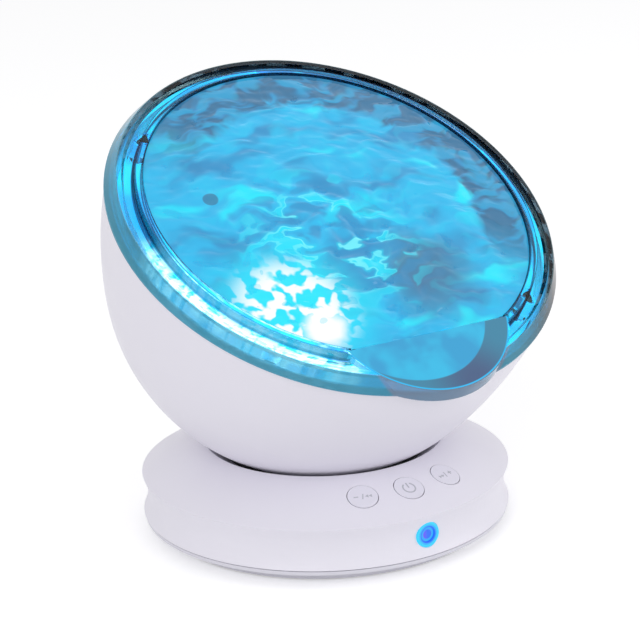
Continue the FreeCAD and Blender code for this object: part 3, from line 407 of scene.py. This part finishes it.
def ripple_height(x, y):
    """The relief at a point of the lens: short ripples, steep near the front left, on a swell."""
    bend = noise.noise_vector(Vector((x, y, 0)) * BENDS_PER_MM) * BEND_REACH
    squeezed = Vector((x + bend.x, (y + bend.y) * RIPPLE_SQUEEZE, 3))
    ripple = noise.noise(squeezed * RIPPLES_PER_MM)
    swell = noise.noise(Vector((x + bend.x, y + bend.y, 9)) * SWELLS_PER_MM)
    steep = math.exp(-((x - STEEP_AT.x) ** 2 + (y - STEEP_AT.y) ** 2) / STEEP_REACH ** 2)
    border = min(1, max(0, (LENS_RADIUS - math.hypot(x, y)) / FLAT_BORDER))
    return (RIPPLE_HEIGHT * ripple * (RIPPLE_CALM + steep) + SWELL * swell) * border


noise.seed_set(BEND_SEED)
sheet = bmesh.new()
bmesh.ops.create_grid(sheet, x_segments=SHEET_DIVISIONS, y_segments=SHEET_DIVISIONS, size=1)
for vertex in sheet.verts:
    across, along, _ = vertex.co
    x = LENS_RADIUS * across * math.sqrt(1 - along ** 2 / 2)
    y = LENS_RADIUS * along * math.sqrt(1 - across ** 2 / 2)
    crown = LENS_CROWN * (1 - (math.hypot(x, y) / LENS_RADIUS) ** 2)
    vertex.co = Vector((x, y, LENS_EDGE + crown + LENS_LIFT + SWELL / 2 + ripple_height(x, y)))
bmesh.ops.bisect_plane(
    sheet,
    geom=sheet.verts[:] + sheet.edges[:] + sheet.faces[:],
    plane_co=(0, LENS_FRONT, 0),
    plane_no=(0, -1, 0),
    clear_outer=True,
)
bmesh.ops.solidify(sheet, geom=sheet.faces[:], thickness=SHEET_WALL)
bmesh.ops.recalc_face_normals(sheet, faces=sheet.faces)
for face in sheet.faces:
    face.smooth = True
bmesh.ops.transform(sheet, matrix=HEAD @ Matrix.Scale(MM, 4), verts=sheet.verts)

# Colours of the painted light in the lens, the scoop, the cup and the disc.
CYAN = (0.03, 0.50, 0.86)
BRIGHT_CYAN = (0.02, 0.80, 1.0)
MID_BLUE = (0.04, 0.30, 0.60)
BAND_BLUE = (0.045, 0.17, 0.32)
GREY_BLUE = (0.07, 0.20, 0.36)
PALE_CYAN = (0.22, 0.92, 1.0)
PAINTED_HOT_WHITE = (1.0, 1.0, 1.0)
HOT_AT = Vector((-32, -33, 0))
HOT_CORE = Vector((-27, -41, 0))
LIVELY_AT = Vector((-12, -14, 0))
DIM_PATCH_AT = Vector((10, -31, 0))
BUBBLE_AT = Vector((-36.5, 8.1, 0))
SHADE_BAND_SIDE = (0.6, 0.8, 0)
SHADE_BAND_WAVE = 16
FLOW_SQUEEZE = (1, 2.2, 1)
CALM_SHARE = 0.14
DIM_PATCH_SHARE = 0.9
TROUGH_SHADE_SHARE = 0.8
CREST_HIGHLIGHT_SHARE = 0.85
GLINT_SHARE = 0.7
BUBBLE_SHARE = 0.75
GLINT_LEVEL = 0.60
SHADED_SHARE = 0.85
PAINTED_LENS_GLOW = 0.86
LENS_IOR = 1.36


def bent(tree, flat, per_mm, reach):
    """Coordinates pushed about by slow noise, so that a pattern on them flows."""
    push = put(tree, "TexNoise", {"Vector": flat, "Scale": per_mm, "Detail": 2}).outputs["Color"]
    centred = reckon_place(tree, "SUBTRACT", push, (0.5, 0.5, 0.5))
    return reckon_place(tree, "ADD", flat, reckon_place(tree, "MULTIPLY", centred, (reach,) * 3))


def paint_glow_from_behind(tree, shader, tone, strength):
    """Paints a colour on as glow from behind, and leaves little of it for the light outside."""
    tree.links.new(tone, shader.inputs["Emission Color"])
    tree.links.new(mix_tint(tree, SHADED_SHARE, tone, BLACK), shader.inputs["Base Color"])
    shader.inputs["Emission Strength"].default_value = strength


lens_finish, tree, shader, place = new_finish("rippled_lens")
flat, radius = flat_place(tree, place)
flow = bent(tree, flat, per_mm=0.07, reach=16)
streams = reckon_place(tree, "MULTIPLY", flow, FLOW_SQUEEZE)
clouds = soft_noise(tree, streams, scale=0.035)
tone = mix_tint(tree, fade(tree, clouds, low=0.34, high=0.50), MID_BLUE, CYAN)
tone = mix_tint(tree, fade(tree, clouds, low=0.54, high=0.68), tone, BRIGHT_CYAN)

# Painted shade: a darker wavy band near the edge of the lens at the back right.
wavy_radius = reckon(tree, "MULTIPLY_ADD", soft_noise(tree, flow, scale=0.12), SHADE_BAND_WAVE, radius)
shade_band_side = side_of(tree, flat, SHADE_BAND_SIDE, low=-0.25, high=0.3)
painted_shade_band = times(tree, fade(tree, wavy_radius, low=45.5, high=50), shade_band_side)
shade_band_clouds = fade(tree, soft_noise(tree, streams, scale=0.11), low=0.42, high=0.62)
tone = mix_tint(tree, painted_shade_band, tone, mix_tint(tree, shade_band_clouds, BAND_BLUE, MID_BLUE))
# Painted shade: a dim grey-blue patch in front of the middle, a little to the right.
painted_dim_patch = near_spot(tree, flow, DIM_PATCH_AT, inner=6, outer=20)
tone = mix_tint(tree, times(tree, painted_dim_patch, DIM_PATCH_SHARE), tone, GREY_BLUE)

curled = bent(tree, streams, per_mm=0.12, reach=7)
ripples = soft_noise(tree, curled, scale=0.11, detail=0.6)
lively = near_spot(tree, flow, LIVELY_AT, inner=10, outer=36)
lively = reckon(tree, "MAXIMUM", lively, CALM_SHARE)
# Painted shade in the ripple troughs.
painted_trough_shade = times(tree, fade(tree, ripples, low=0.36, high=0.48, start=1.0, end=0.0), lively)
# Painted highlights on the ripple crests, and painted glints at their tips.
painted_crest_highlights = times(tree, fade(tree, ripples, low=0.50, high=0.62), lively)
lively_middle = near_spot(tree, flow, LIVELY_AT, inner=6, outer=26)
painted_ripple_glints = times(tree, ring_of(tree, ripples, GLINT_LEVEL, half_width=0.035), lively_middle)
tone = mix_tint(tree, times(tree, painted_trough_shade, TROUGH_SHADE_SHARE), tone, MID_BLUE)
tone = mix_tint(tree, times(tree, painted_crest_highlights, CREST_HIGHLIGHT_SHARE), tone, BRIGHT_CYAN)
tone = mix_tint(tree, times(tree, painted_ripple_glints, GLINT_SHARE), tone, PALE_CYAN)

# Painted pool of bright light at the front left, with painted white hot spots and a white core.
tone = mix_tint(tree, near_spot(tree, flat, HOT_AT, inner=8, outer=27), tone, BRIGHT_CYAN)
flakes = soft_noise(tree, bent(tree, flat, per_mm=0.2, reach=4), scale=0.24, detail=1.0)
painted_hot_light = near_spot(tree, flat, HOT_AT, inner=9, outer=20)
painted_hot_light = times(tree, painted_hot_light, fade(tree, flakes, low=0.46, high=0.56))
painted_hot_core = near_spot(tree, bent(tree, flat, per_mm=0.2, reach=3), HOT_CORE, inner=3.5, outer=7.5)
tone = mix_tint(tree, reckon(tree, "MAXIMUM", painted_hot_light, painted_hot_core), tone, PAINTED_HOT_WHITE)
bubble = near_spot(tree, flat, BUBBLE_AT, inner=1.9, outer=2.3)
tone = mix_tint(tree, times(tree, bubble, BUBBLE_SHARE), tone, BAND_BLUE)
paint_glow_from_behind(tree, shader, tone, PAINTED_LENS_GLOW)

rippled = bumped(tree, ripples, depth=1.2 * MM, strength=0.6)
tree.links.new(rippled, shader.inputs["Normal"])
shader.inputs["Roughness"].default_value = 0.07
shader.inputs["IOR"].default_value = LENS_IOR
lens_face = piece("rippled_lens_face", sheet, lens_finish, "head")

# Scoop face: the smooth sloping floor of the lobe at the front of the cover. Painted blue light
# fills it as glow, painted shade turns it grey-blue towards its outer edge, and a painted
# highlight line runs along that edge.
SCOOP_SLOPE = math.radians(5.5)
SCOOP_START = -49
SCOOP_TOP = 23.21
SCOOP_LIFT = 0.06
SCOOP_MARGIN = 0.25
SCOOP_SEGMENTS = 160
SCOOP_SHADE_BAND = (0.055, 0.24, 0.38)
SCOOP_SHADE_BAND_LOW = (0.07, 0.12, 0.24)
SCOOP_FLOOR = (0.04, 0.36, 0.66)
SCOOP_BRIGHT = (0.04, 0.50, 0.80)
SCOOP_HIGHLIGHT_BLUE = (0.03, 0.50, 0.90)
SCOOP_SHADE_BAND_FROM = Vector((-4.2, -38.2, 0))
SCOOP_SHADE_BAND_EDGES = (24.4, 24.8)
SCOOP_HIGHLIGHT_EDGES = (26.25, 26.5)
SCOOP_LOW_END = Vector((6, -66, 0))

scoop = bmesh.new()
scoop_radius = LOBE_RADIUS - SCOOP_MARGIN
bmesh.ops.create_circle(scoop, cap_ends=True, segments=SCOOP_SEGMENTS, radius=scoop_radius)
bmesh.ops.translate(scoop, verts=scoop.verts, vec=LOBE_AT)
bmesh.ops.bisect_plane(
    scoop,
    geom=scoop.verts[:] + scoop.edges[:] + scoop.faces[:],
    plane_co=(0, SCOOP_START - SCOOP_MARGIN, 0),
    plane_no=(0, 1, 0),
    clear_outer=True,
)
for vertex in scoop.verts:
    drop = (vertex.co.y - SCOOP_START) * math.tan(SCOOP_SLOPE)
    vertex.co.z = SCOOP_TOP + drop + SCOOP_LIFT
bmesh.ops.solidify(scoop, geom=scoop.faces[:], thickness=SHEET_WALL / 2)
bmesh.ops.recalc_face_normals(scoop, faces=scoop.faces)
bmesh.ops.transform(scoop, matrix=HEAD @ Matrix.Scale(MM, 4), verts=scoop.verts)

scoop_finish, tree, shader, place = new_finish("scoop_floor")
flat, _ = flat_place(tree, place)
clouds = soft_noise(tree, bent(tree, flat, per_mm=0.06, reach=8), scale=0.09)
tone = mix_tint(tree, fade(tree, clouds, low=0.40, high=0.62), SCOOP_FLOOR, SCOOP_BRIGHT)
# Painted shade, deepest at the low end of the band.
painted_low_end_shade = near_spot(tree, flat, SCOOP_LOW_END, inner=2, outer=17)
shade_band_tone = mix_tint(tree, painted_low_end_shade, SCOOP_SHADE_BAND, SCOOP_SHADE_BAND_LOW)
painted_shade_band = fade(tree, distance_to(tree, flat, SCOOP_SHADE_BAND_FROM), *SCOOP_SHADE_BAND_EDGES)
# Painted highlight line along the outer edge.
painted_edge_highlight = fade(tree, distance_to(tree, flat, LOBE_AT), *SCOOP_HIGHLIGHT_EDGES)
tone = mix_tint(tree, painted_shade_band, tone, shade_band_tone)
tone = mix_tint(tree, painted_edge_highlight, tone, SCOOP_HIGHLIGHT_BLUE)
paint_glow_from_behind(tree, shader, tone, PAINTED_LENS_GLOW)
shader.inputs["Roughness"].default_value = 0.05
shader.inputs["IOR"].default_value = LENS_IOR
scoop_face = piece("scoop_face", scoop, scoop_finish, "head")

# Light cup, disc and lamps under the cover: the cup is white plastic with the lamps' blue light
# painted on it as glow, strongest at the front left, and the disc has the same painted glow. The
# lamps are small white blocks with clear domes.
CUP_PAINTED_GLOW = 0.9
LAMP_GLOW = 2.0
FRONT_LEFT = (-0.8, -0.6, 0)


def glowing(name, low, high, strength, per_mm=0.05):
    """A pale part with painted lamp light as glow: in clouds, with painted hot spots front left."""
    made, tree, shader, place = new_finish(name)
    flat, _ = flat_place(tree, place)
    clouds = soft_noise(tree, bent(tree, flat, per_mm=0.05, reach=14), per_mm)
    tone = mix_tint(tree, fade(tree, clouds, low=0.4, high=0.6), low, high)
    front_left = side_of(tree, flat, FRONT_LEFT, low=0.55, high=0.98)
    # Painted hot spots at the front left.
    painted_hot_spots = fade(tree, soft_noise(tree, flat, scale=0.16, detail=1.0), low=0.48, high=0.6)
    tone = mix_tint(tree, times(tree, front_left, painted_hot_spots), tone, PAINTED_HOT_WHITE)
    tree.links.new(tone, shader.inputs["Emission Color"])
    tree.links.new(tone, shader.inputs["Base Color"])
    shader.inputs["Emission Strength"].default_value = strength
    shader.inputs["Roughness"].default_value = 0.5
    return made


finish_nodes(glowing("painted_glow_cup", CYAN, BRIGHT_CYAN, CUP_PAINTED_GLOW), "light_cup")
finish_nodes(glowing("painted_glow_disc", MID_BLUE, BRIGHT_CYAN, CUP_PAINTED_GLOW, per_mm=0.12), "ripple_disc")
finish_nodes(glowing("lit_lamps", PALE_CYAN, PAINTED_HOT_WHITE, LAMP_GLOW), "lamps", "status_lamp")

# Boards, sockets, motor, screws and speaker inside the base and the bowl: green lacquered
# boards, plated and brushed metal, black moulded housings and a felted paper cone.
LACQUER_GREEN = (0.03, 0.20, 0.09)
METAL_GREY = (0.60, 0.61, 0.63)
HOUSING_BLACK = (0.025, 0.025, 0.028)
PAPER_BLACK = (0.06, 0.06, 0.06)
FELT_DEPTH = 0.2 * MM

board_lacquer = moulded("board_lacquer", LACQUER_GREEN, roughness=0.35, share=0.3)
brushed_metal = moulded("brushed_metal", METAL_GREY, roughness=0.3, share=0.15, metallic=1.0)
black_housing = moulded("black_housing", HOUSING_BLACK, roughness=0.45)
felted_paper = moulded(
    "felted_paper", PAPER_BLACK, roughness=0.9, share=0.3, grain_depth=FELT_DEPTH
)
finish_nodes(board_lacquer, "lamp_board", "key_board", "sensor_board", "main_board")
finish_nodes(brushed_metal, "gear_motor", "disc_shaft", "case_screws", "post_screw")
finish_nodes(brushed_metal, "speaker_magnet", "usb_socket", "card_socket")
finish_nodes(black_housing, "key_switches", "infrared_receiver", "audio_jack", "speaker_frame")
finish_nodes(felted_paper, "speaker_cone")

# Receiver window: a stepped lens of clear blue plastic pressed into the band, with light from
# behind painted on as glow. Its ring is sky blue and its disc deeper, with a violet cast at the
# left.
WINDOW_LOW, WINDOW_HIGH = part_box("receiver_window")
WINDOW_AT = (WINDOW_LOW + WINDOW_HIGH) / 2
WINDOW_RING = (0.02, 0.42, 0.95)
WINDOW_EDGE = (0.03, 0.66, 1.0)
WINDOW_DISC = (0.02, 0.16, 0.95)
WINDOW_VIOLET = (0.16, 0.10, 0.95)
VIOLET_EDGES = (-1.6, 0.4)
DISC_EDGES = (1.2, 1.5)
STEP_AT = 2.2
STEP_WIDTH = 0.3
RING_EDGES = (2.5, 3.2)
WINDOW_PAINTED_GLOW = 0.85

window_finish, tree, shader, place = new_finish("blue_window")
window_sockets = {"Vector": place, "Location": -WINDOW_AT * TO_MM, "Scale": (TO_MM,) * 3}
window_place = put(tree, "Mapping", window_sockets).outputs["Vector"]
upright = reckon_place(tree, "MULTIPLY", window_place, (1, 0, 1))
out = length_of(tree, upright)
rightward = put(tree, "SeparateXYZ", {0: upright}).outputs["X"]
violet = fade(tree, rightward, *VIOLET_EDGES, 1.0, 0.0)
disc_tone = mix_tint(tree, violet, WINDOW_DISC, WINDOW_VIOLET)
tone = mix_tint(tree, fade(tree, out, *DISC_EDGES), disc_tone, WINDOW_RING)
tone = mix_tint(tree, ring_of(tree, out, STEP_AT, STEP_WIDTH), tone, WINDOW_DISC)
tone = mix_tint(tree, fade(tree, out, *RING_EDGES), tone, WINDOW_EDGE)
paint_glow_from_behind(tree, shader, tone, WINDOW_PAINTED_GLOW)
shader.inputs["Roughness"].default_value = 0.12
finish_nodes(window_finish, "receiver_window")

# Key signs: thin grey print on each key. The left key has a minus and a step back, the middle
# one the power sign, and the right one a step forward and a plus.
SIGN_WALL = 0.05
SIGN_SINK = 0.02
SIGN_COLOUR = (0.50, 0.50, 0.56)
BAR_WIDTH = 0.42
MARK_WIDTH = BAR_WIDTH * 0.8
MARK_LENGTH = 1.3
MARK_AT = -1.9
STROKE_WIDTH = 0.3
STROKE_LENGTH = 2.0
STROKE_LEAN = math.radians(-14)
ARROW_RADIUS = 0.62
ARROWS_AT = (1.2, 2.2)
QUARTER_TURN = math.radians(90)
POWER_RADIUS = 1.75
POWER_START = math.radians(120)
POWER_SWEEP = math.radians(300)
POWER_STEPS = 28
POWER_BAR = 1.9
POWER_BAR_AT = 1.0
sign_finish = moulded("sign_print", SIGN_COLOUR, roughness=0.6)


def lay(mesh, shape, x, y, turn):
    """Turns a printed shape and lays it at its place on the sign."""
    turned = Matrix.Rotation(turn, 4, "Z")
    bmesh.ops.transform(mesh, matrix=Matrix.Translation((x, y, 0)) @ turned, verts=shape)


def bar(mesh, x, y, width, depth, turn=0.0):
    """A printed bar of a sign."""
    shape = bmesh.ops.create_cube(mesh, size=1)["verts"]
    bmesh.ops.scale(mesh, vec=(width, depth, SIGN_WALL), verts=shape)
    lay(mesh, shape, x, y, turn)


def arrow(mesh, x, way):
    """A printed triangle that points back along x, or on along it where the way is -1."""
    shape = bmesh.ops.create_cone(
        mesh,
        cap_ends=True,
        segments=3,
        radius1=ARROW_RADIUS,
        radius2=ARROW_RADIUS,
        depth=SIGN_WALL,
    )["verts"]
    lay(mesh, shape, x, 0, QUARTER_TURN * way)


def skip_sign(mesh, way):
    """A stroke with a minus or plus on one side and a double arrow on the other."""
    bar(mesh, 0, 0, STROKE_WIDTH, STROKE_LENGTH, STROKE_LEAN)
    bar(mesh, MARK_AT * way, 0, MARK_LENGTH, MARK_WIDTH)
    if way < 0:
        bar(mesh, MARK_AT * way, 0, MARK_WIDTH, MARK_LENGTH)
    for arrow_at in ARROWS_AT:
        arrow(mesh, arrow_at * way, way)


def power_sign(mesh):
    """An open ring with a bar through its gap."""
    corners = [
        mesh.verts.new((POWER_RADIUS + side * BAR_WIDTH / 2, 0, top * SIGN_WALL / 2))
        for side, top in ((-1, -1), (1, -1), (1, 1), (-1, 1))
    ]
    section = mesh.faces.new(corners)
    bmesh.ops.rotate(mesh, matrix=Matrix.Rotation(POWER_START, 3, "Z"), verts=corners)
    bmesh.ops.spin(
        mesh,
        geom=[section, *corners],
        axis=(0, 0, 1),
        cent=(0, 0, 0),
        steps=POWER_STEPS,
        angle=POWER_SWEEP,
    )
    bar(mesh, 0, POWER_BAR_AT, BAR_WIDTH, POWER_BAR)


SIGNS = {
    "down_key": lambda mesh: skip_sign(mesh, 1),
    "power_key": power_sign,
    "up_key": lambda mesh: skip_sign(mesh, -1),
}
for key, draw in SIGNS.items():
    up = -Vector(joints[key + "_press"]["axis"])
    radial = Vector((up.x, up.y, 0)).normalized()
    along = radial.cross(up).normalized()
    if along.x < 0:
        along = -along
    inwards = up.cross(along)
    corners = [Vector(vertex.co) for vertex in frame["nodes"][key].data.vertices]
    centre = sum(corners, Vector()) / len(corners)
    cap_height = max(corner.dot(up) for corner in corners) - centre.dot(up)
    middle = centre + up * (cap_height + (SIGN_WALL / 2 - SIGN_SINK) * MM)
    turned = Matrix((along, inwards, up)).transposed().to_4x4()
    onto_key = Matrix.Translation(middle) @ turned @ Matrix.Scale(MM, 4)
    sign = bmesh.new()
    draw(sign)
    bmesh.ops.recalc_face_normals(sign, faces=sign.faces)
    bmesh.ops.transform(sign, matrix=onto_key, verts=sign.verts)
    made = piece(key + "_sign", sign, sign_finish, key)
